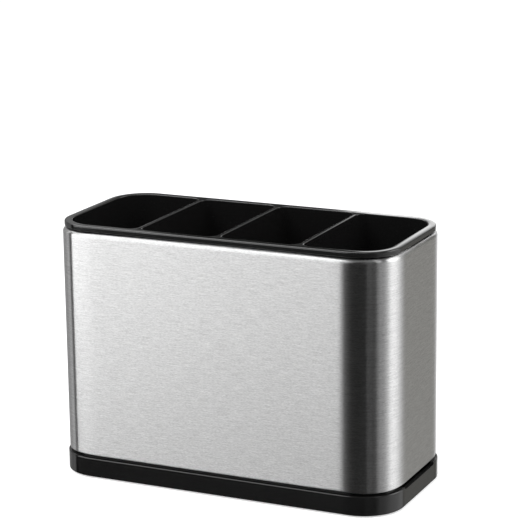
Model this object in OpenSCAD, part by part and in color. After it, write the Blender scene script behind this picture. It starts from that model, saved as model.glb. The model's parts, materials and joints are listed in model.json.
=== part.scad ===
// Utensil holder: a brushed steel sleeve on a black moulded base, with a lift-out
// four-pocket liner and a drip tray that slides out of the base's right-hand end.
// Millimetres, +Z up, front face towards -Y, origin under the middle of the feet.

/* [Overall] */
// Length of the steel sleeve, along X
body_w = 180; // [170:1:210]
// Depth of the steel sleeve, along Y
body_d = 83; // [81:1:100]
// Plan radius of the sleeve's outer corners
corner_r = 20; // [18:0.5:20]
// Height of the sleeve, from its hem to the top of its rolled lip
sleeve_h = 115; // [90:0.5:150]

/* [Steel sleeve] */
// Thickness of the sheet
sheet_t = 0.6; // [0.5:0.1:0.8]
// Outer radius of the lip rolled inwards at the top
lip_r = 1.5; // [1.3:0.1:1.6]
// Outer radius of the bend into the bottom hem
hem_bend_r = 1.1; // [1:0.1:1.3]
// Width of the hem turned inwards at the bottom
hem_w = 6.6; // [5.5:0.1:7.5]

/* [Liner] */
// Number of pockets
pocket_count = 4; // [3:1:5]
// Thickness of the dividers between pockets
divider_t = 2; // [1.6:0.1:3]
// Thickness of the liner's outer wall
liner_wall_t = 1.5; // [1.2:0.1:2]
// Thickness of the liner's floor
liner_floor_t = 2; // [1.5:0.1:3]
// Plan radius of the pocket corners beside a divider
pocket_r = 5; // [3:0.5:7]
// Thickness of the flange that covers the rolled lip
flange_t = 2.7; // [2:0.1:3]
// Distance of the flange's edge inside the sleeve's outer face
flange_inset = 1; // [0.6:0.1:1.2]
// Rounding of the flange's outer edges
flange_edge_r = 0.7; // [0.4:0.1:0.9]
// Drain slots in each pocket floor
slot_count = 5; // [3:1:5]
// Width of a drain slot
slot_w = 3; // [2:0.25:3.5]
// Length of a drain slot
slot_len = 28; // [20:1:30]

/* [Drain deck] */
// Thickness of the deck that clamps the hem
deck_t = 2.4; // [2:0.1:3]
// Diameter of the four posts that carry the liner
post_d = 9; // [8:0.5:10]
// Height of the posts above the deck
post_h = 8.5; // [8:0.5:12]
// Width of the deck beyond each end of the drain window
deck_end_w = 9; // [8:0.5:14]
// Solid cap left over the pilot hole in a post
post_cap = 1.5; // [1:0.25:2.5]

/* [Base] */
// Height of the base's skirt
skirt_h = 9.6; // [9:0.1:12]
// Thickness of the skirt's wall
skirt_t = 2; // [1.8:0.1:2.5]
// Distance of the skirt outside the sleeve's face
skirt_proud = 0.6; // [0.5:0.1:1.5]
// Rounding of the skirt's upper edge
skirt_edge_r = 0.5; // [0.3:0.1:0.8]
// Rounding of the skirt's lower edge
skirt_foot_r = 0.2; // [0.1:0.1:0.4]
// Height of the shadow gap between skirt and sleeve
shadow_gap = 1.3; // [1:0.1:2]
// Distance of the neck inside the sleeve's face
neck_inset = 2.5; // [2:0.1:3]
// Thickness of the base's top plate below the ledge
plate_t = 2.4; // [2:0.1:2.8]
// Thickness of the floor under the tray
base_floor_t = 1.4; // [1.2:0.1:1.6]
// Thickness of the base's guide walls and ribs
rib_t = 1.8; // [1.5:0.1:2]
// Reach of the top plate over each long wall of the tray
plate_reach = 2.5; // [2:0.25:4]
// Distance of the tray channel's closed end from the sleeve's end face
channel_end = 6; // [5:0.5:9]

/* [Drip tray] */
// Width of the tray's mouth in the base
mouth_w = 42.6; // [36:0.2:42.6]
// Length of the finger notch in the tray front's top edge
notch_w = 39.6; // [28:0.2:40]
// Depth of the finger notch below the ledge
notch_h = 1.3; // [1.2:0.1:2]
// Rounding of the finger notch's lower corners
notch_r = 1.2; // [0.4:0.1:1.2]
// Thickness of the tray's front panel
tray_front_t = 2; // [1.8:0.1:2.5]
// Thickness of the tray's walls and floor
tray_t = 1.2; // [1:0.1:1.4]

/* [Feet and screws] */
// Diameter of a rubber foot
foot_d = 12; // [10:0.5:13]
// Height of a foot showing below the base
foot_proud = 0.8; // [0.6:0.1:1.2]
// Depth of the recess that holds a foot
foot_recess = 2; // [1.8:0.1:2.2]
// Wall round a foot's recess
foot_wall = 1.5; // [1.2:0.1:1.8]
// Distance of a foot's centre from the sleeve's end face
foot_in_x = 22; // [20:1:26]
// Distance of a foot's centre from the sleeve's front face
foot_in_y = 12; // [11.5:0.1:12.5]
// Diameter of a screw's shank
screw_d = 3; // [2.5:0.1:3.2]
// Diameter of a screw's head
head_d = 5.6; // [5:0.1:6]
// Height of a screw's head
head_h = 2.2; // [1.8:0.1:2.4]
// Span of the cross recess in a screw's head
cross_span = 3; // [2:0.1:3.6]
// Width of the cross recess
cross_w = 0.8; // [0.5:0.1:1]
// Depth of the cross recess
cross_h = 1.2; // [0.8:0.1:1.5]

/* [Clearances] */
// Liner wall to the inside of the rolled lip
liner_gap = 0.5; // [0.3:0.05:0.7]
// Flange over the top of the rolled lip
rest_gap = 0.2; // [0.15:0.05:0.3]
// Deck edge to the inside of the sleeve
deck_gap = 0.9; // [0.7:0.1:1.2]
// Tray to the base, on every side
tray_gap = 0.3; // [0.2:0.05:0.35]
// Foot to the wall of its recess
foot_gap = 0.1; // [0.05:0.05:0.2]
// Screw shank to its pilot hole, on the radius
pilot_gap = 0.05; // [0.05:0.05:0.1]
// Screw to its clearance hole and counterbore, on the radius
screw_gap = 0.25; // [0.2:0.05:0.4]
// Screw's tip to the end of its pilot hole
tip_gap = 1; // [0.5:0.25:2]

/* [Hidden] */
$fn = 96;
// How far a cut runs past the face that it opens
past = 1;

// Heights, from the ground up
base_z = foot_proud;
ledge_z = base_z + skirt_h;
sleeve_z = ledge_z + shadow_gap;
deck_z = sleeve_z + sheet_t;
deck_top_z = deck_z + deck_t;
liner_z = deck_top_z + post_h;
pocket_z = liner_z + liner_floor_t;
sleeve_top_z = sleeve_z + sleeve_h;
flange_z = sleeve_top_z + rest_gap;
rim_z = flange_z + flange_t;

// Insets of each plan outline from the sleeve's outer face
lip_inset = 2 * lip_r;
liner_inset = lip_inset + liner_gap;
pocket_inset = liner_inset + liner_wall_t;
deck_inset = sheet_t + deck_gap;

// Pockets, their slots and the drain window below them, through deck and base
pocket_pitch = (body_w - 2 * pocket_inset + divider_t) / pocket_count;
pocket_w = pocket_pitch - divider_t;
pocket_d = body_d - 2 * pocket_inset;
slot_pitch = 2 * slot_w;
drain_w = body_w - 2 * (deck_inset + deck_end_w);
drain_d = mouth_w - 2 * plate_reach;

// Tray and its channel
base_end_x = body_w / 2 + skirt_proud;
channel_rear_x = channel_end - body_w / 2;
tray_rear_x = channel_rear_x + tray_gap;
tray_back_of_front_x = base_end_x - tray_front_t;
tray_w = mouth_w - 2 * tray_gap;
tray_z = base_z + base_floor_t + tray_gap;
tray_top_z = ledge_z - notch_h;
channel_top_z = tray_top_z + tray_gap;
floor_end_x = tray_back_of_front_x - tray_gap;

// Screws run up from the foot recesses into the deck's posts
foot_x = body_w / 2 - foot_in_x;
foot_y = body_d / 2 - foot_in_y;
recess_top_z = base_z + foot_recess;
head_top_z = recess_top_z + head_h;
pilot_top_z = liner_z - post_cap;
screw_top_z = pilot_top_z - tip_gap;
foot_boss_d = foot_d + 2 * (foot_gap + foot_wall);

BLACK = [0.06, 0.06, 0.065];
STEEL = [0.78, 0.78, 0.77];
RUBBER = [0.12, 0.12, 0.12];

// Plan outline of the sleeve, moved inwards by an inset
module plan(inset) {
    w = body_w - 2 * inset;
    d = body_d - 2 * inset;
    rounded_rect(w, d, corner_r - inset);
}

module rounded_rect(w, d, r) {
    square([w - 2 * r, d], center = true);
    square([w, d - 2 * r], center = true);
    for (sx = [-1, 1], sy = [-1, 1])
        translate([sx * (w / 2 - r), sy * (d / 2 - r)])
            circle(r);
}

// Closed slab with the sleeve's plan outline
module slab(inset, z0, z1) {
    translate([0, 0, z0])
        linear_extrude(height = z1 - z0)
            plan(inset);
}

// Carries a cross-section round the plan outline: its x runs out from the corner
// centres, so x = corner_r is the sleeve's outer face, and its y is the height
module sweep_round() {
    for (k = [0:3]) {
        along = k % 2 == 0 ? body_d : body_w;
        across = k % 2 == 0 ? body_w : body_d;
        rotate(90 * k)
            translate([across / 2 - corner_r, along / 2 - corner_r, 0]) {
                rotate([90, 0, 0])
                    linear_extrude(height = along - 2 * corner_r)
                        children();
                rotate_extrude(angle = 90)
                    children();
            }
    }
}

// Cross-section from x0 to x1 and z0 to z1 with its upper and lower outer corners rounded
module rounded_edge(x0, x1, z0, z1, upper_r, lower_r) {
    translate([x0, z0])
        square([x1 - lower_r - x0, z1 - z0 - upper_r]);
    translate([x0, z0 + lower_r])
        square([x1 - x0, z1 - z0 - lower_r - upper_r]);
    translate([x0, z0 + lower_r])
        square([x1 - upper_r - x0, z1 - z0 - lower_r]);
    translate([x1 - lower_r, z0 + lower_r])
        circle(lower_r);
    translate([x1 - upper_r, z1 - upper_r])
        circle(upper_r);
}

module at_feet() {
    for (sx = [-1, 1], sy = [-1, 1])
        translate([sx * foot_x, sy * foot_y, 0])
            children();
}

module at_pockets() {
    for (i = [0:pocket_count - 1])
        translate([(i - (pocket_count - 1) / 2) * pocket_pitch, 0, 0])
            children();
}

module box(x0, x1, y0, y1, z0, z1) {
    translate([x0, y0, z0])
        cube([x1 - x0, y1 - y0, z1 - z0]);
}

module upright(d, z0, z1) {
    translate([0, 0, z0])
        cylinder(h = z1 - z0, d = d);
}

// Sheet steel: wall, lip rolled inwards at the top, hem turned inwards at the bottom
module sleeve_section() {
    face = corner_r;
    translate([face - sheet_t, sleeve_z + hem_bend_r])
        square([sheet_t, sleeve_h - hem_bend_r - lip_r]);
    translate([face - lip_r, sleeve_top_z - lip_r])
        intersection() {
            arc_strip(lip_r);
            translate([-lip_r, 0])
                square([2 * lip_r, lip_r]);
        }
    translate([face - hem_bend_r, sleeve_z + hem_bend_r])
        intersection() {
            arc_strip(hem_bend_r);
            translate([0, -hem_bend_r])
                square(hem_bend_r);
        }
    translate([face - hem_w, sleeve_z])
        square([hem_w - hem_bend_r, sheet_t]);
}

// Ring of sheet thickness in a cross-section
module arc_strip(r) {
    difference() {
        circle(r);
        circle(r - sheet_t);
    }
}

module steel_sleeve() {
    color(STEEL)
        sweep_round()
            sleeve_section();
}

// Moulded insert: flange, outer wall, dividers and slotted floor in one piece
module cutlery_liner() {
    color(BLACK)
        difference() {
            union() {
                slab(liner_inset, liner_z, rim_z);
                sweep_round()
                    rounded_edge(corner_r - pocket_inset, corner_r - flange_inset, flange_z, rim_z,
                                 flange_edge_r, flange_edge_r);
            }
            translate([0, 0, pocket_z])
                linear_extrude(height = rim_z - pocket_z + past)
                    intersection() {
                        plan(pocket_inset);
                        at_pockets()
                            rounded_rect(pocket_w, pocket_d, pocket_r);
                    }
            at_pockets()
                drain_slots();
        }
}

module drain_slots() {
    for (i = [0:slot_count - 1])
        translate([(i - (slot_count - 1) / 2) * slot_pitch, 0, liner_z - past])
            linear_extrude(height = liner_floor_t + 2 * past) {
                square([slot_w, slot_len - slot_w], center = true);
                for (sy = [-1, 1])
                    translate([0, sy * (slot_len - slot_w) / 2])
                        circle(d = slot_w);
            }
}

// Ring inside the sleeve that clamps the hem; its posts take the screws and carry the liner
module drain_deck() {
    color(BLACK)
        difference() {
            union() {
                slab(deck_inset, deck_z, deck_top_z);
                at_feet()
                    upright(post_d, deck_z, liner_z);
            }
            drain_window(deck_z - past, deck_top_z + past);
            at_feet()
                upright(screw_d + 2 * pilot_gap, deck_z - past, pilot_top_z);
        }
}

// Moulded base: skirt, ledge, neck under the hem, tray channel and foot bosses
module base_frame() {
    color(BLACK)
        difference() {
            union() {
                sweep_round()
                    rounded_edge(corner_r - skirt_t, corner_r + skirt_proud, base_z, ledge_z,
                                 skirt_edge_r, skirt_foot_r);
                slab(skirt_t / 2, ledge_z - plate_t, ledge_z);
                slab(neck_inset, ledge_z - plate_t, sleeve_z);
                at_feet()
                    upright(foot_boss_d, base_z, ledge_z);
                intersection() {
                    slab(skirt_t / 2, base_z, ledge_z);
                    channel_and_ribs();
                }
            }
            mouth_cut(channel_rear_x, base_z + base_floor_t, channel_top_z);
            mouth_cut(floor_end_x, base_z - past, channel_top_z);
            mouth_cut(body_w / 2 - neck_inset, base_z - past, sleeve_z + past);
            drain_window(channel_top_z - past, sleeve_z + past);
            at_feet()
                foot_and_screw_holes();
        }
}

// Cut that lets water fall from the liner to the tray
module drain_window(z0, z1) {
    box(-drain_w / 2, drain_w / 2, -drain_d / 2, drain_d / 2, z0, z1);
}

// Cut as wide as the tray's mouth, from x0 out through the base's end
module mouth_cut(x0, z0, z1) {
    box(x0, base_end_x + past, -mouth_w / 2, mouth_w / 2, z0, z1);
}

module channel_and_ribs() {
    side_y = mouth_w / 2 + rib_t;
    box(channel_rear_x - rib_t, base_end_x, -side_y, side_y, base_z, ledge_z);
    for (i = [-1, 0, 1])
        translate([i * foot_x / 2, 0, 0])
            box(-rib_t / 2, rib_t / 2, -body_d / 2, body_d / 2, base_z + base_floor_t, ledge_z);
}

module foot_and_screw_holes() {
    upright(foot_d + 2 * foot_gap, base_z - past, recess_top_z);
    upright(head_d + 2 * screw_gap, base_z, head_top_z);
    upright(screw_d + 2 * screw_gap, base_z, sleeve_z + past);
}

// Shallow tray; its front panel carries on the skirt's shape and has the finger notch
module drip_tray() {
    front_x = corner_r + skirt_proud;
    color(BLACK)
        difference() {
            union() {
                box(tray_rear_x, tray_back_of_front_x, -tray_w / 2, tray_w / 2, tray_z, tray_top_z);
                intersection() {
                    sweep_round()
                        rounded_edge(front_x - tray_front_t, front_x, base_z, ledge_z, skirt_edge_r, skirt_foot_r);
                    box(0, base_end_x, -tray_w / 2, tray_w / 2, base_z, ledge_z);
                }
            }
            box(tray_rear_x + tray_t, tray_back_of_front_x, tray_t - tray_w / 2, tray_w / 2 - tray_t,
                tray_z + tray_t, tray_top_z + past);
            translate([tray_back_of_front_x - past, 0, ledge_z])
                rotate([90, 0, 90])
                    linear_extrude(height = tray_front_t + 2 * past)
                        rounded_rect(notch_w, 2 * notch_h, notch_r);
        }
}

// Four pan-head screws with cross recesses
module base_screws() {
    color(STEEL)
        at_feet()
            difference() {
                union() {
                    upright(head_d, recess_top_z, head_top_z);
                    upright(screw_d, recess_top_z + cross_h, screw_top_z);
                }
                for (a = [0, 90])
                    rotate(a)
                        box(-cross_w / 2, cross_w / 2, -cross_span / 2, cross_span / 2, recess_top_z - past, recess_top_z + cross_h);
            }
}

// Rubber pad pressed into the base, rounded where it meets the worktop
module foot(sx, sy) {
    edge_r = foot_proud / 2;
    color(RUBBER)
        translate([sx * foot_x, sy * foot_y, 0])
            rotate_extrude() {
                translate([0, edge_r])
                    square([foot_d / 2, recess_top_z - edge_r]);
                square([foot_d / 2 - edge_r, edge_r]);
                intersection() {
                    translate([foot_d / 2 - edge_r, edge_r])
                        circle(edge_r);
                    square([foot_d / 2, edge_r]);
                }
            }
}

module foot_front_left() { foot(-1, -1); }
module foot_front_right() { foot(1, -1); }
module foot_rear_left() { foot(-1, 1); }
module foot_rear_right() { foot(1, 1); }

steel_sleeve();
cutlery_liner();
drain_deck();
base_frame();
drip_tray();
base_screws();
foot_front_left();
foot_front_right();
foot_rear_left();
foot_rear_right();
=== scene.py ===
# %% [markdown]
# # A utensil holder for the counter
# A brushed steel sleeve stands on a glossy black base. A black liner with four pockets stands in the sleeve
# and lifts out, and a shallow drip tray slides out of the base at the right end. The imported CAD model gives
# the sizes and the motions. This script dresses it: finer meshes for the pieces that show, node materials
# for all of them, and a small studio. The pieces' lengths are written in millimetres and become metres at
# the mesh.

import json
import math

import bmesh
import bpy
import numpy as np
from mathutils import Matrix, Vector
from mathutils.geometry import tessellate_polygon

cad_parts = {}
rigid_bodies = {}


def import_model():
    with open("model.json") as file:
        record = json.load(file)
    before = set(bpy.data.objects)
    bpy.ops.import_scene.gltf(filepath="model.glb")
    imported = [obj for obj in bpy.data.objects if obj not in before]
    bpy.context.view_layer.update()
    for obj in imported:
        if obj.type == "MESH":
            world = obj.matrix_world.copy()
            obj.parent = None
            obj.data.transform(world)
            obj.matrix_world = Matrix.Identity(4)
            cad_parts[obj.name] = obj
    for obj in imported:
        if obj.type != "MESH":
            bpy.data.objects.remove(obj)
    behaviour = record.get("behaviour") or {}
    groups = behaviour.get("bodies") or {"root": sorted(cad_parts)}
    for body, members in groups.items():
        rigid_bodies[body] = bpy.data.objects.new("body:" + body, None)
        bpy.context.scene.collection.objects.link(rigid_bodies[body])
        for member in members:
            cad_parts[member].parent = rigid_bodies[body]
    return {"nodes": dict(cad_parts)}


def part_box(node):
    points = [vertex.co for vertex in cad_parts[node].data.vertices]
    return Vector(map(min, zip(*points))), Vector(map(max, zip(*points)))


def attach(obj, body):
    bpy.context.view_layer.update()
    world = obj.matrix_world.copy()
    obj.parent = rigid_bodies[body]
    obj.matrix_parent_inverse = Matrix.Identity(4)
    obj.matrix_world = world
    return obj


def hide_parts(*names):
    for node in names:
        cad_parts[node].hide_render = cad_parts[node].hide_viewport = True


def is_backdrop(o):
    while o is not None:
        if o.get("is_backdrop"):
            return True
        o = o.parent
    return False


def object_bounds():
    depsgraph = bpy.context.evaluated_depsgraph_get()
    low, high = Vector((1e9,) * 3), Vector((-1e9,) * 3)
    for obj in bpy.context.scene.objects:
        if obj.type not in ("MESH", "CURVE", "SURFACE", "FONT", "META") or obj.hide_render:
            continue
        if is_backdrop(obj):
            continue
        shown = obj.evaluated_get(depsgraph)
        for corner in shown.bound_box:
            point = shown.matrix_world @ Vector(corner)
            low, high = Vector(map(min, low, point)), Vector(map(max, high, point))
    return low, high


for spare in list(bpy.data.objects):
    bpy.data.objects.remove(spare)
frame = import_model()
scene = bpy.context.scene
scene.view_settings.view_transform = "Standard"
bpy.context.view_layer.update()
MM = 0.001

# %% [markdown]
# ## The camera
# The photograph looks down a little, from the front and to the right, through a long lens. The angles, the
# distance and the lens were found by fitting the holder's known edges to the picture. A camera's matrix has
# its right, up and backward directions as columns, so the fitted angles go straight in, roll included.

# %% Place the camera
VIEW_TURN, VIEW_TILT, VIEW_ROLL = (math.radians(a) for a in (25.017, 14.161, -0.703))
VIEW_DISTANCE = 1075.1 * MM
VIEW_TARGET = Vector((5.91, 0, 110.35)) * MM
FOCAL_PIXELS, PICTURE_PIXELS = 2179.2, 520

level = Vector((math.cos(VIEW_TURN), math.sin(VIEW_TURN), 0))
ahead = Vector((-math.sin(VIEW_TURN), math.cos(VIEW_TURN), 0))
forward = ahead * math.cos(VIEW_TILT) - Vector((0, 0, math.sin(VIEW_TILT)))
upright = level.cross(forward)
right = level * math.cos(VIEW_ROLL) + upright * math.sin(VIEW_ROLL)
up = upright * math.cos(VIEW_ROLL) - level * math.sin(VIEW_ROLL)
eye = VIEW_TARGET - forward * VIEW_DISTANCE

lens = bpy.data.cameras.new("product_camera")
lens.sensor_width = 36
lens.lens = FOCAL_PIXELS / PICTURE_PIXELS * lens.sensor_width
lens.clip_start, lens.clip_end = 0.01, 50
camera = bpy.data.objects.new("product_camera", lens)
camera.matrix_world = Matrix((right, up, -forward)).transposed().to_4x4()
camera.matrix_world.translation = eye
scene.collection.objects.link(camera)
scene.camera = camera
print("camera at", [round(c, 3) for c in eye], "lens", round(lens.lens, 1), "mm")

# %% [markdown]
# ## Node helpers
# Every finish is a tree of nodes that ends in one Principled shader. These helpers add a node, link it and
# set its sockets in one line, so that each material below reads as a short recipe. Patterns read Object
# coordinates in metres: every piece sits at the origin, so a scale of 1000 means one wave a millimetre.

# %% Small tools for materials
def new_finish(name, **sockets):
    """A material with one Principled shader, whose sockets are set by name."""
    finish = bpy.data.materials.new(name)
    finish.use_nodes = True
    shader = finish.node_tree.nodes["Principled BSDF"]
    for socket, value in sockets.items():
        shader.inputs[socket.replace("_", " ")].default_value = value
    return finish, finish.node_tree, shader


def add_node(tree, kind, inputs=(), **settings):
    """Adds a node. Inputs are set by name or number, and an output socket given as a value is linked."""
    node = tree.nodes.new(kind)
    for name, value in settings.items():
        setattr(node, name, value)
    for socket, value in dict(inputs).items():
        if isinstance(value, bpy.types.NodeSocket):
            tree.links.new(value, node.inputs[socket])
        else:
            node.inputs[socket].default_value = value
    return node


def noise_on(tree, scale, detail=2.0, rough=0.5):
    """Noise on Object coordinates, with its own number of waves a metre along X, Y and Z."""
    place = add_node(tree, "ShaderNodeTexCoord").outputs["Object"]
    sized = add_node(tree, "ShaderNodeMapping", {"Vector": place, "Scale": scale}).outputs[0]
    look = {"Vector": sized, "Scale": 1.0, "Detail": detail, "Roughness": rough}
    return add_node(tree, "ShaderNodeTexNoise", look).outputs["Fac"]


def spread(tree, value, low, high, start=0.3, end=0.7):
    """Stretches a noise value between two numbers."""
    return add_node(tree, "ShaderNodeMapRange", {0: value, 1: start, 2: end, 3: low, 4: high}).outputs[0]


def shades(tree, value, dark, light):
    """A colour between two shades, by a value from 0 to 1."""
    mix = add_node(tree, "ShaderNodeMix", data_type="RGBA")
    tree.links.new(value, mix.inputs[0])
    mix.inputs[6].default_value = (*dark, 1)
    mix.inputs[7].default_value = (*light, 1)
    return mix.outputs[2]


def relief(tree, shader, height, strength, depth):
    """Fine relief: a height from 0 to 1, at most depth metres deep."""
    bump = add_node(tree, "ShaderNodeBump", {"Height": height, "Strength": strength, "Distance": depth})
    tree.links.new(bump.outputs[0], shader.inputs["Normal"])


# %% [markdown]
# ## Brushed stainless steel
# The sheet is rubbed with a belt, which leaves short scratches that all run round the sleeve. Across the
# scratches a reflection smears into a tall streak, along them it stays fairly sharp: that is anisotropy.
# The shader's tangent turns about Z, so it follows the scratches round the corners too. A noise that is
# long in X and Y and thin in Z draws the scratches themselves, in colour, roughness and relief.

# %% Make the steel
def brushed_steel():
    smear = {"Anisotropic": 1.0, "Anisotropic_Rotation": 0.25}
    finish, tree, shader = new_finish("brushed_steel", Metallic=1.0, **smear)
    turn = add_node(tree, "ShaderNodeTangent", direction_type="RADIAL", axis="Z").outputs[0]
    tree.links.new(turn, shader.inputs["Tangent"])
    scratches = noise_on(tree, (120, 120, 3100), 2.0, 0.7)
    hairlines = noise_on(tree, (850, 850, 5200), 1.0, 0.6)
    passes = noise_on(tree, (9, 9, 30), 2.0)
    both = add_node(tree, "ShaderNodeMath", {0: scratches, 1: hairlines}, operation="ADD").outputs[0]
    tone = spread(tree, both, 0.0, 1.0, 0.7, 1.3)
    colour = shades(tree, tone, (0.505, 0.505, 0.505), (0.805, 0.805, 0.805))
    tree.links.new(colour, shader.inputs["Base Color"])
    fine, broad = spread(tree, scratches, 0.285, 0.315), spread(tree, passes, -0.004, 0.004)
    worn = add_node(tree, "ShaderNodeMath", {0: fine, 1: broad}, operation="ADD").outputs[0]
    tree.links.new(worn, shader.inputs["Roughness"])
    relief(tree, shader, both, 0.12, 0.00003)
    return finish


STEEL = brushed_steel()
print("made", STEEL.name)

# %% [markdown]
# ## Black plastics and rubber
# The liner, the base and the tray are glossy black mouldings. Gloss plastic is never quite even: the mould
# leaves a faint ripple, handling leaves duller patches, and a few specks of dust settle on it. The deck
# under the liner is the same plastic from a spark-textured mould, so it is matt, and the feet are soft
# rubber.

# %% Make the plastics and the rubber
def black_moulding(name, gloss, dull, tone):
    """Glossy black plastic. Its roughness drifts from gloss to dull, and tone is the plastic's own grey."""
    finish, tree, shader = new_finish(name, IOR=1.6)
    patches = noise_on(tree, (22, 22, 22), 3.0)
    ripple = noise_on(tree, (260, 260, 260), 2.0)
    specks = noise_on(tree, (1900, 1900, 1900), 0.0)
    dust = spread(tree, specks, 0.0, 1.0, 0.83, 0.88)
    dark, light = (tone * 0.8,) * 3, (tone * 1.15,) * 3
    clean = shades(tree, patches, dark, light)
    dusty = add_node(tree, "ShaderNodeMix", data_type="RGBA")
    tree.links.new(dust, dusty.inputs[0])
    tree.links.new(clean, dusty.inputs[6])
    dusty.inputs[7].default_value = (0.03, 0.03, 0.03, 1)
    tree.links.new(dusty.outputs[2], shader.inputs["Base Color"])
    tree.links.new(spread(tree, patches, gloss, dull), shader.inputs["Roughness"])
    relief(tree, shader, ripple, 0.08, 0.00004)
    return finish


def matt_moulding():
    finish, tree, shader = new_finish("deck_matt_black", IOR=1.49)
    grain = noise_on(tree, (1500, 1500, 1500), 2.0)
    patches = noise_on(tree, (30, 30, 30), 2.0)
    colour = shades(tree, patches, (0.016, 0.016, 0.017), (0.026, 0.026, 0.027))
    tree.links.new(colour, shader.inputs["Base Color"])
    tree.links.new(spread(tree, grain, 0.42, 0.6), shader.inputs["Roughness"])
    relief(tree, shader, grain, 0.4, 0.00008)
    return finish


def soft_rubber():
    finish, tree, shader = new_finish("soft_rubber", IOR=1.45)
    speckle = noise_on(tree, (900, 900, 900), 3.0)
    colour = shades(tree, speckle, (0.018, 0.018, 0.018), (0.045, 0.044, 0.043))
    tree.links.new(colour, shader.inputs["Base Color"])
    tree.links.new(spread(tree, speckle, 0.65, 0.9), shader.inputs["Roughness"])
    relief(tree, shader, speckle, 0.3, 0.00006)
    return finish


def plated_screw():
    finish, tree, shader = new_finish("screw_zinc", Metallic=1.0)
    turned = noise_on(tree, (700, 700, 2500), 2.0)
    colour = shades(tree, turned, (0.46, 0.45, 0.42), (0.62, 0.61, 0.58))
    tree.links.new(colour, shader.inputs["Base Color"])
    tree.links.new(spread(tree, turned, 0.24, 0.4), shader.inputs["Roughness"])
    relief(tree, shader, turned, 0.15, 0.00003)
    return finish


LINER_BLACK = black_moulding("liner_gloss_black", 0.04, 0.08, 0.010)
BASE_BLACK = black_moulding("base_gloss_black", 0.07, 0.12, 0.009)
TRAY_BLACK = black_moulding("tray_gloss_black", 0.10, 0.17, 0.009)
DECK_BLACK, RUBBER, ZINC = matt_moulding(), soft_rubber(), plated_screw()
print("made", [m.name for m in (LINER_BLACK, BASE_BLACK, TRAY_BLACK, DECK_BLACK, RUBBER, ZINC)])

# %% [markdown]
# ## One outline for every wall
# Seen from above, the sleeve, the liner and its pockets are all rectangles with round corners. A moulded
# corner is a plain arc. Bent sheet is different: it springs back, so its bend starts and ends gently, and
# the reflection slides into the corner instead of breaking at a line. One function walks round either kind
# of corner. The outline also has a point just beside each corner: without it, smooth shading would bend the
# reflection over the whole flat side.

# %% Draw a rounded outline and the arcs of a section
def corner_walk(radius, steps, ease):
    """A left turn by 90 degrees that starts at (0, 0) along X.

    The bend fades in and out over a share of its length, and its middle lies where a plain arc's would.
    """
    places = [(k + 0.5) / steps for k in range(steps)]
    bends = [min(1, place / ease, (1 - place) / ease) if ease else 1 for place in places]
    points, heading = [Vector((0, 0))], 0
    for bend in bends:
        turn = math.pi / 2 * bend / sum(bends)
        points.append(points[-1] + Vector((math.cos(heading + turn / 2), math.sin(heading + turn / 2))))
        heading += turn
    tip = Vector((points[-1].x, 0))
    size = (math.sqrt(2) - 1) * radius / (tip - points[steps // 2]).length
    return [point * size for point in points]


def rounded_outline(x0, x1, y0, y1, radii, steps=32, beside=0.5, ease=0):
    """Points anticlockwise round a rectangle in mm.

    The radii are of the front right, back right, back left and front left corners.
    """
    outline = []
    tips = ((x1, y0), (x1, y1), (x0, y1), (x0, y0))
    for quarter, (tip, radius) in enumerate(zip(tips, radii)):
        ahead = Vector((1, 0)) @ Matrix.Rotation(-quarter * math.pi / 2, 2)
        left = Vector((-ahead.y, ahead.x))
        walk = corner_walk(radius, steps, ease)
        start = Vector(tip) - ahead * walk[-1].x
        walk = [Vector((-beside, 0)), *walk, walk[-1] + Vector((0, beside))]
        outline.extend(tuple(start + ahead * p.x + left * p.y) for p in walk)
    return outline


def arc(centre_x, centre_y, radius, start, end, steps=8):
    """Points on an arc of a section, in mm and degrees."""
    turns = [math.radians(start + (end - start) * k / steps) for k in range(steps + 1)]
    return [(centre_x + radius * math.cos(t), centre_y + radius * math.sin(t)) for t in turns]


def new_piece(name, mesh):
    piece = bpy.data.objects.new(name, mesh)
    scene.collection.objects.link(piece)
    return piece


# %% [markdown]
# ## The steel sleeve
# A sleeve like this is a strip of steel, bent into a ring and welded at the back. Its top edge is rolled
# inwards to a round lip, and its bottom edge is folded under as a hem that the deck clamps to the base.
# Two details differ from the CAD model by less than a millimetre: the lip is softer and a little lower, so
# that the dark line under the flange shows, and the hem's fold is tighter, for a crisp lower edge.
# The whole sleeve is one section carried round one path, and that is a rule, so Geometry Nodes can make it:
# Curve to Mesh sweeps the section object along the path object. Anyone can change either and get a new
# sleeve.

# %% Draw the sleeve's path and section
SHEET, LIP_WIDTH, LIP_REACH, LIP_DROP, LIP_SINK = 0.6, 3.0, 2.1, 2.3, 0.3
HEM_RADIUS, HEM_WIDTH = 0.7, 6.6
CORNER_RADIUS, CORNER_EASE, BESIDE = 20.0, 0.45, 0.4
sleeve_low, sleeve_high = (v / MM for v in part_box("steel_sleeve"))
SLEEVE_BOTTOM, SLEEVE_TOP = sleeve_low.z, sleeve_high.z - LIP_SINK

lip_z, hem_z = SLEEVE_TOP - LIP_DROP, SLEEVE_BOTTOM + HEM_RADIUS
curl_radius = LIP_WIDTH - LIP_REACH


def lip_line(inset):
    """The lip's outer side, or a line inside it by an inset: a slow bend up, then a tight curl down."""
    reach, drop, curl = LIP_REACH - inset, LIP_DROP - inset, curl_radius - inset
    bend = [(LIP_REACH + x * reach, lip_z + z * drop) for x, z in arc(0, 0, 1, 180, 90, 20)]
    return bend + arc(LIP_REACH, SLEEVE_TOP - curl_radius, curl, 90, 0, 8)[1:]


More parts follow.
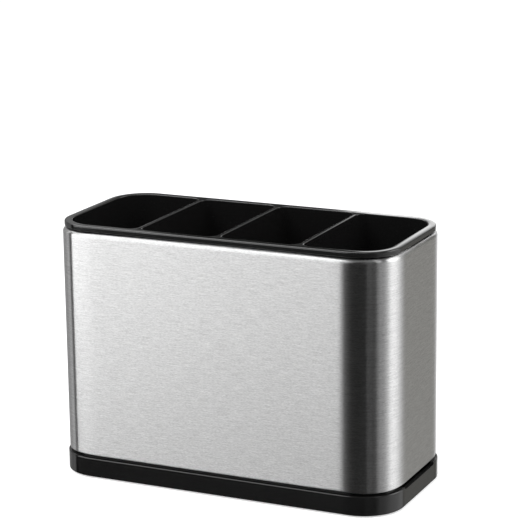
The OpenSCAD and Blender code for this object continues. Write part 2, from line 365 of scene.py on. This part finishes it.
sleeve_section = [
    (HEM_WIDTH, SLEEVE_BOTTOM),
    (HEM_RADIUS + BESIDE, SLEEVE_BOTTOM),
    *arc(HEM_RADIUS, hem_z, HEM_RADIUS, 270, 180),
    (0, hem_z + BESIDE),
    (0, lip_z - BESIDE),
    *lip_line(0),
    *reversed(lip_line(SHEET)),
    (SHEET, lip_z - BESIDE),
    (SHEET, hem_z + BESIDE),
    *arc(HEM_RADIUS, hem_z, HEM_RADIUS - SHEET, 180, 270),
    (HEM_RADIUS + BESIDE, SLEEVE_BOTTOM + SHEET),
    (HEM_WIDTH, SLEEVE_BOTTOM + SHEET),
]


def ring_object(name, points):
    """A closed line of edges, for a node tree to read."""
    mesh = bpy.data.meshes.new(name)
    count = len(points)
    mesh.from_pydata([Vector(p) * MM for p in points], [(i, (i + 1) % count) for i in range(count)], [])
    return new_piece(name, mesh)


corners = (CORNER_RADIUS,) * 4
sides = (sleeve_low.x, sleeve_high.x, sleeve_low.y, sleeve_high.y)
outline = rounded_outline(*sides, corners, steps=48, ease=CORNER_EASE)
sleeve_path = ring_object("sleeve_path", [(x, y, 0) for x, y in outline])
section_line = ring_object("sleeve_section", [(-inset, -z, 0) for inset, z in reversed(sleeve_section)])
print("sleeve path:", len(outline), "points; section:", len(sleeve_section), "points")


# %% Build the sweep tree
def socket_of(tree, name):
    """The identifier of a tree's input, which is what a modifier is set by."""
    return next(i.identifier for i in tree.interface.items_tree if i.name == name and i.in_out == "INPUT")


def new_tree(name, **sockets):
    """A tree that makes geometry, and its inputs. Each input is given as a name and a kind of socket."""
    tree = bpy.data.node_groups.new(name, "GeometryNodeTree")
    tree.interface.new_socket("Geometry", in_out="INPUT", socket_type="NodeSocketGeometry")
    for socket, kind in sockets.items():
        tree.interface.new_socket(socket, in_out="INPUT", socket_type="NodeSocket" + kind)
    tree.interface.new_socket("Geometry", in_out="OUTPUT", socket_type="NodeSocketGeometry")
    return tree, add_node(tree, "NodeGroupInput").outputs


def end_tree(tree, geometry, finish):
    """Makes a tree's geometry real and gives it its material."""
    real = add_node(tree, "GeometryNodeRealizeInstances", {"Geometry": geometry}).outputs[0]
    dress = {"Geometry": real, "Material": finish}
    add_node(tree, "NodeGroupOutput", {0: add_node(tree, "GeometryNodeSetMaterial", dress).outputs[0]})


def sweep_tree():
    """Sweeps a section round a flat path. A section's X points outwards and its Y points down."""
    tree, given = new_tree("sweep_round_a_path", Path="Object", Section="Object", Finish="Material")
    lines = {}
    for name in ("Path", "Section"):
        line = add_node(tree, "GeometryNodeObjectInfo", {"Object": given[name]}).outputs["Geometry"]
        lines[name] = add_node(tree, "GeometryNodeMeshToCurve", {"Mesh": line}).outputs[0]
    flat = add_node(tree, "GeometryNodeSetCurveNormal", {"Curve": lines["Path"]}, mode="Z_UP").outputs[0]
    pair = {"Curve": flat, "Profile Curve": lines["Section"]}
    end_tree(tree, add_node(tree, "GeometryNodeCurveToMesh", pair).outputs[0], given["Finish"])
    return tree


def grow(name, tree, **inputs):
    """Runs a node tree and keeps its result as a plain mesh."""
    seed = new_piece(name + "_tree", bpy.data.meshes.new(name + "_tree"))
    modifier = seed.modifiers.new("grow", "NODES")
    modifier.node_group = tree
    for socket, value in inputs.items():
        modifier[socket_of(tree, socket)] = value
    evaluated = seed.evaluated_get(bpy.context.evaluated_depsgraph_get())
    mesh = bpy.data.meshes.new_from_object(evaluated)
    mesh.name = name
    bpy.data.objects.remove(seed)
    return new_piece(name, mesh)


# %% Sweep the sleeve
WELD = 2e-7


def open_edges(bm):
    return sum(1 for edge in bm.edges if len(edge.link_faces) != 2)


def close_and_smooth(mesh, sharp=30):
    """Merges doubles, turns the faces outwards and shades smoothly up to a sharp angle in degrees."""
    bm = bmesh.new()
    bm.from_mesh(mesh)
    bmesh.ops.remove_doubles(bm, verts=bm.verts, dist=WELD)
    bmesh.ops.recalc_face_normals(bm, faces=bm.faces)
    loose = open_edges(bm)
    bm.to_mesh(mesh)
    bm.free()
    mesh.shade_smooth()
    mesh.set_sharp_from_angle(angle=math.radians(sharp))
    return loose


sleeve = grow("sleeve_sheet", sweep_tree(), Path=sleeve_path, Section=section_line, Finish=STEEL)
loose = close_and_smooth(sleeve.data)
for helper in (sleeve_path, section_line):
    bpy.data.objects.remove(helper)
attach(sleeve, "housing")
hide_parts("steel_sleeve")
print("sleeve_sheet:", len(sleeve.data.polygons), "faces,", loose, "open edges")

# %% [markdown]
# ## The liner
# The liner is one moulding: a flange that covers the sleeve's lip, an outer wall, and four deep pockets
# with thin walls between them. Its edges are all a little round, and those round edges carry the thin
# bright lines along the rim. Booleans leave hard edges, so the mesh is lofted instead: rings of points
# stepped down each wall, joined into bands, with the flat faces filled between the rings at the end.

# %% Loft rings and fill flat faces
def loft(bm, rings):
    """Joins rings of the same number of points into bands, and returns the first and last ring."""
    rows = [[bm.verts.new(Vector(p) * MM) for p in ring] for ring in rings]
    for above, below in zip(rows, rows[1:]):
        for i, j in zip(range(len(above)), [*range(1, len(above)), 0]):
            bm.faces.new((above[i], above[j], below[j], below[i])).smooth = True
    return rows[0], rows[-1]


def fill(bm, *rings):
    """Closes a flat face, which stays flat shaded. The first ring is its outline, the others its holes."""
    points = [v for ring in rings for v in ring]
    for triangle in tessellate_polygon([[v.co for v in ring] for ring in rings]):
        bm.faces.new([points[i] for i in triangle]).smooth = False


# %% Model the liner
HALF_X, HALF_Y = sleeve_high.x, sleeve_high.y
FLANGE_THICKNESS, FLANGE_INSET, FLANGE_EDGE, FLANGE_UNDER_EDGE = 2.7, 1.0, 0.55, 0.5
WALL_INSET, WALL_FILLET, POCKET_INSET, DIVIDER, FLOOR_THICKNESS = 3.5, 0.3, 5.0, 2.0, 2.0
POCKETS, POCKET_CORNER, POCKET_RIM, POCKET_FLOOR_EDGE, FOOT_EDGE = 4, 5.0, 0.35, 3.0, 1.5
SLOTS, SLOT_PITCH, SLOT_WIDTH, SLOT_LENGTH, SLOT_END_FLAT = 5, 6.0, 3.0, 28.0, 0.04
NEAR_FLANGE_EDGE, NEAR_WALL_EDGE = 0.15, 0.5
liner_low, liner_high = (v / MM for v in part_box("cutlery_liner"))
RIM, LINER_BOTTOM = liner_high.z, liner_low.z
FLANGE_BOTTOM, POCKET_FLOOR = RIM - FLANGE_THICKNESS, LINER_BOTTOM + FLOOR_THICKNESS


def inset_ring(inset, z, steps=32):
    """The sleeve's outline moved inwards, at a height."""
    x, y = HALF_X - inset, HALF_Y - inset
    flat = rounded_outline(-x, x, -y, y, (CORNER_RADIUS - inset,) * 4, steps)
    return [(px, py, z) for px, py in flat]


def liner_outside():
    """The liner's outer section from the rim's top edge to its underside, as (inset, height).

    A point near each round edge keeps the flat beside it flat in the shading too.
    """
    under, fillet = FLANGE_UNDER_EDGE, WALL_FILLET
    return [
        *arc(FLANGE_INSET + FLANGE_EDGE, RIM - FLANGE_EDGE, FLANGE_EDGE, 90, 180),
        (FLANGE_INSET, RIM - FLANGE_EDGE - NEAR_FLANGE_EDGE),
        (FLANGE_INSET, FLANGE_BOTTOM + under + NEAR_FLANGE_EDGE),
        *arc(FLANGE_INSET + under, FLANGE_BOTTOM + under, under, 180, 270, 5),
        (WALL_INSET - fillet - NEAR_FLANGE_EDGE, FLANGE_BOTTOM),
        *arc(WALL_INSET - fillet, FLANGE_BOTTOM - fillet, fillet, 90, 0, 4),
        (WALL_INSET, FLANGE_BOTTOM - fillet - NEAR_WALL_EDGE),
        (WALL_INSET, LINER_BOTTOM + FOOT_EDGE + NEAR_WALL_EDGE),
        *arc(WALL_INSET + FOOT_EDGE, LINER_BOTTOM + FOOT_EDGE, FOOT_EDGE, 180, 270, 6),
    ]


def pocket_ring(number, grow, z):
    """A pocket's outline, grown by a little, at a height. End pockets follow the liner's round corners."""
    width = (2 * (HALF_X - POCKET_INSET) - (POCKETS - 1) * DIVIDER) / POCKETS
    x0 = POCKET_INSET - HALF_X + number * (width + DIVIDER)
    end = CORNER_RADIUS - POCKET_INSET
    left = end if number == 0 else POCKET_CORNER
    right = end if number == POCKETS - 1 else POCKET_CORNER
    y = HALF_Y - POCKET_INSET + grow
    radii = [r + grow for r in (right, right, left, left)]
    flat = rounded_outline(x0 - grow, x0 + width + grow, -y, y, radii, 16)
    return [(px, py, z) for px, py in flat], x0 + width / 2


def pocket_inside():
    """A pocket's section from its rim down to its floor, as (growth, height)."""
    rim, foot = POCKET_RIM, POCKET_FLOOR_EDGE
    return [
        *arc(rim, RIM - rim, rim, 90, 180, 6),
        (0, RIM - rim - NEAR_WALL_EDGE),
        (0, POCKET_FLOOR + foot + NEAR_WALL_EDGE),
        *[(-inset, z) for inset, z in arc(foot, POCKET_FLOOR + foot, foot, 180, 270)],
    ]


def slot_outline(middle, slot):
    """A drain slot's outline in a pocket's floor. Its ends are round but for a tiny flat."""
    x = middle + (slot - (SLOTS - 1) / 2) * SLOT_PITCH
    across, along = SLOT_WIDTH / 2, SLOT_LENGTH / 2
    radii = (across - SLOT_END_FLAT / 2,) * 4
    return rounded_outline(x - across, x + across, -along, along, radii, 8, SLOT_END_FLAT / 4)


def build_liner():
    bm = bmesh.new()
    top, bottom = loft(bm, [inset_ring(inset, z) for inset, z in liner_outside()])
    mouths, slots_below = [], []
    for number in range(POCKETS):
        mouth, floor = loft(bm, [pocket_ring(number, grow, z)[0] for grow, z in pocket_inside()])
        mouths.append(mouth)
        middle, holes = pocket_ring(number, 0, 0)[1], []
        for slot in range(SLOTS):
            flat = slot_outline(middle, slot)
            hole, under = loft(bm, [[(x, y, z) for x, y in flat] for z in (POCKET_FLOOR, LINER_BOTTOM)])
            holes.append(hole)
            slots_below.append(under)
        fill(bm, floor, *holes)
    fill(bm, top, *mouths)
    fill(bm, bottom, *slots_below)
    mesh = bpy.data.meshes.new("liner_moulding")
    bmesh.ops.recalc_face_normals(bm, faces=bm.faces)
    loose = open_edges(bm)
    bm.to_mesh(mesh)
    bm.free()
    mesh.set_sharp_from_angle(angle=math.radians(40))
    mesh.materials.append(LINER_BLACK)
    return new_piece("liner_moulding", mesh), loose


liner, loose = build_liner()
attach(liner, "liner")
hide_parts("cutlery_liner")
print("liner_moulding:", len(liner.data.polygons), "faces,", loose, "open edges")

# %% [markdown]
# ## The base and the drip tray
# The base is a shallow black moulding: a skirt that stands a little proud of the steel, a ledge, and a
# narrow neck that lifts the sleeve off it and leaves a dark shadow line. The tray's front closes the mouth
# in its right end. The CAD solids already have these shapes. A copy of each is merged, because a CAD mesh
# is loose triangles, and weighted normals keep its flat sides flat right up to the round edges, as a
# polished mould does.

# %% Dress the base and the tray
def polished_copy(node, name, finish, sharp=28):
    """A merged copy of a CAD node with smooth round edges and flat flats."""
    mesh = frame["nodes"][node].data.copy()
    mesh.name = name
    bm = bmesh.new()
    bm.from_mesh(mesh)
    bmesh.ops.remove_doubles(bm, verts=bm.verts, dist=WELD)
    loose = open_edges(bm)
    bm.to_mesh(mesh)
    bm.free()
    if "custom_normal" in mesh.attributes:
        mesh.attributes.remove(mesh.attributes["custom_normal"])
    mesh.shade_smooth()
    mesh.set_sharp_from_angle(angle=math.radians(sharp))
    mesh.materials.clear()
    mesh.materials.append(finish)
    piece = new_piece(name, mesh)
    flats = piece.modifiers.new("flat flats", "WEIGHTED_NORMAL")
    flats.mode, flats.weight, flats.keep_sharp = "FACE_AREA", 100, True
    print(name + ":", len(mesh.polygons), "faces,", loose, "open edges")
    return piece


base = polished_copy("base_frame", "base_moulding", BASE_BLACK)
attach(base, "housing")
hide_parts("base_frame")
tray = polished_copy("drip_tray", "tray_moulding", TRAY_BLACK)
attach(tray, "tray")
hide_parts("drip_tray")

# %% [markdown]
# ## The feet
# Four round rubber feet sit in recesses under the base. They are one shape in four places, so a node tree
# puts them there: a grid of two by two points with the right spacing, and the same foot on each point. The
# foot itself is turned like a pot on a wheel, from a section with a round edge and two grip rings under it.

# %% Turn one foot and set out four
def turned(name, section, sides=48):
    """A closed solid turned about Z. Its section of (radius, height) in mm starts and ends on the axis."""
    bm = bmesh.new()
    rings = []
    for radius, z in section[1:-1]:
        turn = [2 * math.pi * k / sides for k in range(sides)]
        rings.append([(radius * math.cos(t), radius * math.sin(t), z) for t in turn])
    first, last = loft(bm, rings)
    for ring, z in ((first, section[0][1]), (last, section[-1][1])):
        pole = bm.verts.new((0, 0, z * MM))
        for i in range(sides):
            bm.faces.new((ring[i], ring[(i + 1) % sides], pole)).smooth = True
    bmesh.ops.recalc_face_normals(bm, faces=bm.faces)
    mesh = bpy.data.meshes.new(name)
    bm.to_mesh(mesh)
    bm.free()
    mesh.set_sharp_from_angle(angle=math.radians(50))
    return new_piece(name, mesh)


FEET = ("foot_front_left", "foot_front_right", "foot_rear_left", "foot_rear_right")
low, high = (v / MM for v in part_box("foot_rear_right"))
FOOT_RADIUS, FOOT_TOP = (high.x - low.x) / 2, high.z
GROOVE, FOOT_ROUND, FOOT_CHAMFER = 0.25, 0.5, 0.15
foot_section = [
    (0, GROOVE),
    (1.6, GROOVE),
    (1.9, 0),
    (3.0, 0),
    (3.3, GROOVE),
    (3.9, GROOVE),
    (4.2, 0),
    *arc(FOOT_RADIUS - FOOT_ROUND, FOOT_ROUND, FOOT_ROUND, 270, 360, 6),
    (FOOT_RADIUS, FOOT_TOP - FOOT_CHAMFER),
    (FOOT_RADIUS - FOOT_CHAMFER, FOOT_TOP),
    (0, FOOT_TOP),
]
one_foot = turned("one_foot", foot_section)


def four_corners_tree():
    """The same piece at the four corners of a rectangle."""
    kinds = {"Piece": "Object", "Along": "Float", "Across": "Float", "Finish": "Material"}
    tree, given = new_tree("piece_at_four_corners", **kinds)
    grid = {"Size X": given["Along"], "Size Y": given["Across"], "Vertices X": 2, "Vertices Y": 2}
    corners = add_node(tree, "GeometryNodeMeshGrid", grid).outputs[0]
    piece = add_node(tree, "GeometryNodeObjectInfo", {"Object": given["Piece"]}).outputs["Geometry"]
    spots = {"Points": corners, "Instance": piece}
    end_tree(tree, add_node(tree, "GeometryNodeInstanceOnPoints", spots).outputs[0], given["Finish"])
    return tree


centre = (low + high) / 2
spacing = {"Along": 2 * centre.x * MM, "Across": 2 * centre.y * MM}
feet = grow("foot_pads", four_corners_tree(), Piece=one_foot, Finish=RUBBER, **spacing)
bpy.data.objects.remove(one_foot)
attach(feet, "housing")
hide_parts(*FEET)
print("foot_pads:", len(feet.data.polygons), "faces at", [round(c, 1) for c in centre])

# %% [markdown]
# ## The hidden pieces
# The drain deck and the screws are right as the CAD has them, so they stay and only get their finish.

# %% Finish the deck and the screws
for node, finish in (("drain_deck", DECK_BLACK), ("base_screws", ZINC)):
    mesh = frame["nodes"][node].data
    mesh.materials.clear()
    mesh.materials.append(finish)
print("finished drain_deck and base_screws")

# %% [markdown]
# ## The studio
# The holder stands on a white floor against white. Polished and brushed pieces show what is round them, so
# a studio for them is mostly cards: bright panels where the steel should glow, black ones where it should
# go dark. Most cards are painted on a wide dome: their glow is a colour stored on each vertex. The cards
# are seen only in reflections. Two large soft lamps and an even world light everything else.

# %% Light the room
def glow_material():
    """Glows with the colour stored on the vertices, and is as clear as the stored alpha is low."""
    finish = bpy.data.materials.new("card_glow")
    finish.use_nodes = True
    tree = finish.node_tree
    tree.nodes.clear()
    stored = add_node(tree, "ShaderNodeAttribute", attribute_name="glow").outputs
    light = add_node(tree, "ShaderNodeEmission", {"Color": stored["Color"], "Strength": 1.0}).outputs[0]
    clear = add_node(tree, "ShaderNodeBsdfTransparent").outputs[0]
    card = add_node(tree, "ShaderNodeMixShader", {0: stored["Alpha"], 1: clear, 2: light}).outputs[0]
    add_node(tree, "ShaderNodeOutputMaterial", {"Surface": card})
    return finish


CARD_GLOW = glow_material()


# Each card is a name, its turn from and to in degrees from the front, its tilt from and to above the floor,
# how soft its edges are in turn and in tilt, its glow, and how much of the warm tint it has.
# A later card covers an earlier one.
WARM = np.array([1.0, 0.983, 0.92])
CARDS = (
    ("room", -200, 200, -95, 95, 1, 1, 0.20, 0),
    ("ceiling", -200, 200, 70, 95, 1, 6, 0.4, 0),
    ("left_wall", -150, -72, -50, 60, 2, 4, 0.52, 0),
    ("left_wall_far", -150, -98, -50, 60, 2, 4, 0.36, 0),
    ("front_under", -72, 50, -95, -27, 3, 4, 0.12, 0),
    ("front_gap", -72, 50, -27, -8, 3, 3, 0.05, 0),
    ("front_upper", -72, 50, 12, 42, 3, 3, 1.2, 0),
    ("top_strip", -125, 80, 44, 60, 5, 3, 3.4, 0),
    ("top_strip_right", -14, 80, 44, 60, 8, 3, 1.7, 0),
    ("side_low", 52, 150, -50, 2, 3, 4, 0.37, 0),
    ("side_low_far", 88, 150, -50, 2, 18, 4, 0.80, 0),
    ("side_panel", 102, 136, 2, 45, 12, 5, 3.40, 0),
    ("end_floor", 120, 200, -95, -62, 6, 4, 1.80, 0),
    ("end_low", 150, 168, -56, 2, 2, 4, 0.335, 1),
    ("end_upper", 144, 168, 2, 60, 3, 4, 0.18, 1),
    ("back_low", 172, 200, -50, 0, 3, 4, 0.90, 0),
    ("back_panel", 170, 190, 8, 34, 3, 3, 1.30, 0),
    ("back_bright", -168, -158.5, 8, 16, 0.7, 2, 2.30, 0),
    ("back_dark", -158, -151, 6, 30, 0.5, 2, 0.06, 0),
    ("back_line", -170, -140, -2, 4, 2, 2, 1.20, 0),
    ("back_upper", -160, -125, 32, 56, 3, 3, 5.0, 0),
)


def show_in_reflections_only(card):
    card.visible_camera = card.visible_diffuse = card.visible_shadow = card.visible_transmission = False
    card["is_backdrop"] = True


def soft_window(values, low, high, soft):
    """1 between two edges and 0 outside them. Each edge is as wide as twice the softness."""
    rise, fall = (np.clip(side / (2 * soft) + 0.5, 0, 1) for side in (values - low, high - values))
    return rise ** 2 * (3 - 2 * rise) * fall ** 2 * (3 - 2 * fall)


def card_dome(far=6.0):
    """A dome far out, whose vertices glow as the cards say."""
    turns, tilts = np.linspace(-180, 180, 721), np.linspace(-89, 89, 90)
    glow = np.zeros((len(tilts), len(turns), 4))
    for name, turn_from, turn_to, tilt_from, tilt_to, soft_turn, soft_tilt, card, warm in CARDS:
        laps = [soft_window(turns + lap, turn_from, turn_to, soft_turn) for lap in (-360, 0, 360)]
        share = np.outer(soft_window(tilts, tilt_from, tilt_to, soft_tilt), sum(laps).clip(0, 1))[..., None]
        glow += (card * np.array([*WARM ** warm, 1]) - glow) * share
    glow[..., 3] = 1
    t, e = np.meshgrid(np.radians(turns), np.radians(tilts))
    outward = np.stack([np.cos(e) * np.sin(t), -np.cos(e) * np.cos(t), np.sin(e)], axis=2)
    points = far * outward.reshape(-1, 3)
    n = len(turns)
    corners = [j * n + i for j in range(len(tilts) - 1) for i in range(n - 1)]
    mesh = bpy.data.meshes.new("card_dome")
    mesh.from_pydata(points.tolist(), [], [(c, c + 1, c + n + 1, c + n) for c in corners])
    mesh.attributes.new("glow", "FLOAT_COLOR", "POINT").data.foreach_set("color", glow.ravel())
    mesh.materials.append(CARD_GLOW)
    dome = new_piece("card_dome", mesh)
    show_in_reflections_only(dome)
    print("card_dome:", len(CARDS), "cards,", len(corners), "faces")


card_dome()

# %% [markdown]
# A card that stands close is seen differently from each point of the steel, so it can shade one corner or
# one height alone. A tall panel stands a metre in front. A narrow black flag beside each front corner makes
# the corner's dark streak and leaves the flat sides bright.

# %% Stand three cards close by
def bent_card(name, axis, radius, stops, heights, steps=48):
    """A strip bent round an upright axis, in mm.

    Its glow and how far it covers what is behind run through stops of turn, glow and cover. It stands
    between the first two heights and fades out towards the third.
    """
    turns = np.linspace(stops[0][0], stops[-1][0], steps + 1)
    at, glow, cover = zip(*stops)
    glow, cover = np.interp(turns, at, glow), np.interp(turns, at, cover)
    points, colours = [], []
    for z, fade in zip(heights, (1, 1, 0)):
        foot = [(axis[0] + radius * math.sin(t), axis[1] - radius * math.cos(t)) for t in np.radians(turns)]
        points.extend(Vector((x, y, z)) * MM for x, y in foot)
        colours.append(np.stack([glow, glow, glow, cover * fade], axis=1))
    n = steps + 1
    corners = [row * n + k for row in range(2) for k in range(steps)]
    mesh = bpy.data.meshes.new(name)
    mesh.from_pydata(points, [], [(c, c + 1, c + n + 1, c + n) for c in corners])
    stored = mesh.attributes.new("glow", "FLOAT_COLOR", "POINT")
    stored.data.foreach_set("color", np.concatenate(colours).ravel())
    mesh.materials.append(CARD_GLOW)
    show_in_reflections_only(new_piece(name, mesh))


PANEL_STOPS = ((-72, 4.2, 1), (-38, 4.2, 1), (-19, 2.76, 1), (50, 2.76, 1))
RIGHT_STOPS = ((-18, 0, 0), (-11.6, 0, 1), (23, 0, 1), (26, 0.05, 1), (46, 0.05, 1), (58, 0.05, 0))
LEFT_STOPS = ((-62, 0, 0), (-60, 0, 1), (-51.5, 0, 1), (-49.5, 0, 0))
PANEL_DISTANCE, PANEL_HEIGHTS = 1000, (-75, 200, 224)
FLAG_DISTANCE, FLAG_HEIGHTS = 45, (-60, 150, 240)
corner_x, corner_y = HALF_X - CORNER_RADIUS, CORNER_RADIUS - HALF_Y
bent_card("front_panel", (0, 0), PANEL_DISTANCE, PANEL_STOPS, PANEL_HEIGHTS)
bent_card("right_flag", (corner_x, corner_y), FLAG_DISTANCE, RIGHT_STOPS, FLAG_HEIGHTS)
bent_card("left_flag", (-corner_x, corner_y), FLAG_DISTANCE, LEFT_STOPS, FLAG_HEIGHTS)
print("a front panel and two flags beside the front corners")

# %% [markdown]
# The lamps don't show in reflections, because the cards do that work. They and the world light the
# plastics, the pockets and the floor. What the eye sees of the world is white, whatever the world's light
# on the pieces is. The floor isn't mirrored in the steel of the photograph, so reflections don't see it
# here.

# %% Set the lamps, the world and the floor
LAMP_AIM = Vector((0, 0, 0.06))
WORLD_LIGHT, FLOOR_GLOW, FLOOR_TONE, FLOOR_REACH = 0.55, 0.55, 0.86, 6


def soft_lamp(name, turn, height, distance, size, watts):
    """A round lamp that shines at the middle of the holder, in metres and watts."""
    light = bpy.data.lights.new(name, "AREA")
    light.shape, light.size, light.energy = "DISK", size, watts
    lamp = bpy.data.objects.new(name, light)
    t = math.radians(turn)
    lamp.location = (distance * math.sin(t), -distance * math.cos(t), height)
    lamp.rotation_euler = (LAMP_AIM - lamp.location).to_track_quat("-Z", "Y").to_euler()
    lamp.visible_glossy = False
    scene.collection.objects.link(lamp)


soft_lamp("key_lamp", -42, 1.1, 0.8, 0.9, 9)
soft_lamp("fill_lamp", 95, 0.9, 0.9, 0.9, 5)


def seen_by_eye(tree):
    """1 for a ray from the camera, from a reflection or through a clear piece, and 0 for any other."""
    ray = add_node(tree, "ShaderNodeLightPath").outputs
    seen = ray["Is Camera Ray"]
    for kind in ("Is Glossy Ray", "Is Transmission Ray"):
        seen = add_node(tree, "ShaderNodeMath", {0: seen, 1: ray[kind]}, operation="MAXIMUM").outputs[0]
    return seen


def white_world():
    """White to the eye and in reflections, and an even, lower light on everything."""
    world = bpy.data.worlds.new("white_room")
    scene.world = world
    world.use_nodes = True
    tree = world.node_tree
    tree.nodes.clear()
    seen = seen_by_eye(tree)
    strength = add_node(tree, "ShaderNodeMapRange", {0: seen, 3: WORLD_LIGHT, 4: 1.0}).outputs[0]
    sky = add_node(tree, "ShaderNodeBackground", {"Color": (1, 1, 1, 1), "Strength": strength}).outputs[0]
    add_node(tree, "ShaderNodeOutputWorld", {"Surface": sky})


def white_floor():
    """A wide floor. A part of its white is its own and the rest is lit, so the holder's shadow stays."""
    mesh = bpy.data.meshes.new("studio_floor")
    r = FLOOR_REACH
    mesh.from_pydata([(-r, -r, 0), (r, -r, 0), (r, r, 0), (-r, r, 0)], [], [(0, 1, 2, 3)])
    finish = bpy.data.materials.new("floor_white")
    finish.use_nodes = True
    tree = finish.node_tree
    tree.nodes.clear()
    seen = seen_by_eye(tree)
    tone = (FLOOR_TONE, FLOOR_TONE, FLOOR_TONE, 1)
    lit = add_node(tree, "ShaderNodeBsdfDiffuse", {"Color": tone}).outputs[0]
    own = add_node(tree, "ShaderNodeMath", {0: seen, 1: FLOOR_GLOW}, operation="MULTIPLY").outputs[0]
    shine = add_node(tree, "ShaderNodeEmission", {"Color": (1, 1, 1, 1), "Strength": own}).outputs[0]
    both = add_node(tree, "ShaderNodeAddShader", {0: lit, 1: shine}).outputs[0]
    add_node(tree, "ShaderNodeOutputMaterial", {"Surface": both})
    mesh.materials.append(finish)
    floor = new_piece("studio_floor", mesh)
    floor.visible_glossy = False
    floor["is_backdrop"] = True


white_world()
white_floor()
print("studio ready")

# %% [markdown]
# ## Measure and finish
# The dressed model's box is measured and printed in millimetres.

# %% Write the sizes and finish
low, high = (list(corner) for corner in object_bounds())
print("dressed box in mm:", [round((b - a) / MM, 1) for a, b in zip(low, high)])
